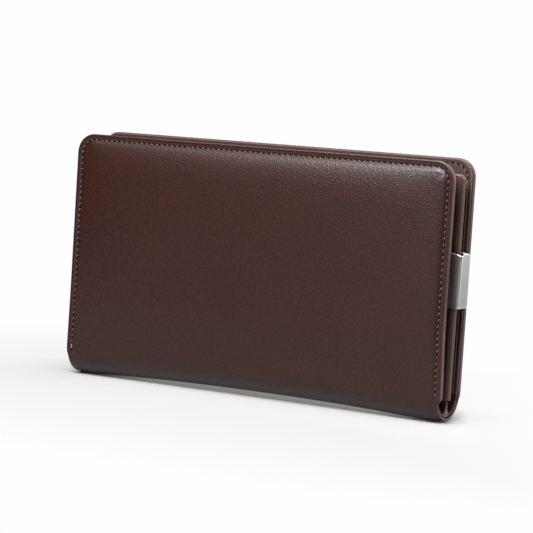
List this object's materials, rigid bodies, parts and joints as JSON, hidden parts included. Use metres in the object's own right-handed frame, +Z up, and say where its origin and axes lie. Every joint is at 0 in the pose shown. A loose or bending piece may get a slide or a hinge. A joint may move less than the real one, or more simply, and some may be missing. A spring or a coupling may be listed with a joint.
{
  "type": "long wallet",
  "caption": "Long leather wallet, closed on its spine: padded covers with pockets, a middle page between them and a sprung steel clip on the page's edge.",
  "frame": {"origin": "on the surface the wallet stands on, under the centre of its bounding box", "axes": "+X along the long side towards the open end with the steel clip, +Y from the front cover to the rear cover, +Z up from the folded spine"},
  "size_m": [0.2, 0.0316, 0.1185],
  "materials": {
    "outer_leather": "fine-pebbled, semi-gloss",
    "inner_leather": "smooth, semi-gloss",
    "lining": "smooth, matte",
    "foam": "open-cell foam, matte",
    "board": "fibre board, matte",
    "thread": "twisted polyester thread",
    "steel": "satin"
  },
  "bodies": {
    "rear_cover": {"rear_outer_leather": "outer_leather", "rear_foam_pad": "foam", "rear_board": "board", "rear_lining": "lining", "rear_note_pocket": "inner_leather", "rear_card_slot_1": "inner_leather", "rear_card_slot_2": "inner_leather", "rear_seam_thread": "thread"},
    "spine": {"spine_leather": "outer_leather", "spine_board": "board", "spine_lining": "lining", "page_anchor_strip": "inner_leather"},
    "front_cover": {"front_outer_leather": "outer_leather", "front_foam_pad": "foam", "front_board": "board", "front_lining": "lining", "front_note_pocket": "inner_leather", "front_card_slot_1": "inner_leather", "front_card_slot_2": "inner_leather", "front_card_slot_3": "inner_leather", "front_seam_thread": "thread"},
    "middle_page": {"page_sleeve": "inner_leather", "page_board": "board", "page_thread_front": "thread", "page_thread_rear": "thread"},
    "clip": {"money_clip": "steel"}
  },
  "joints": [
    {"name": "rear_fold", "type": "hinge", "parent": "rear_cover", "child": "spine", "pos_m": [-0.002, 0.01107, 0.00193], "axis": [1, 0, 0], "range_deg": [0, 90]},
    {"name": "front_fold", "type": "hinge", "parent": "spine", "child": "front_cover", "pos_m": [-0.002, -0.01107, 0.00193], "axis": [1, 0, 0], "range_deg": [0, 90]},
    {"name": "page_turn", "type": "hinge", "parent": "spine", "child": "middle_page", "pos_m": [-0.002, 0.0009, 0.009], "axis": [1, 0, 0], "range_deg": [-67.5, 0]},
    {"name": "clip_slide", "type": "slide", "parent": "middle_page", "child": "clip", "axis": [1, 0, 0], "range_m": [0, 0.03]}
  ],
  "couplings": [
    {"joint": "front_fold", "follows": "rear_fold", "ratio": 1},
    {"joint": "page_turn", "follows": "rear_fold", "ratio": -0.75}
  ]
}
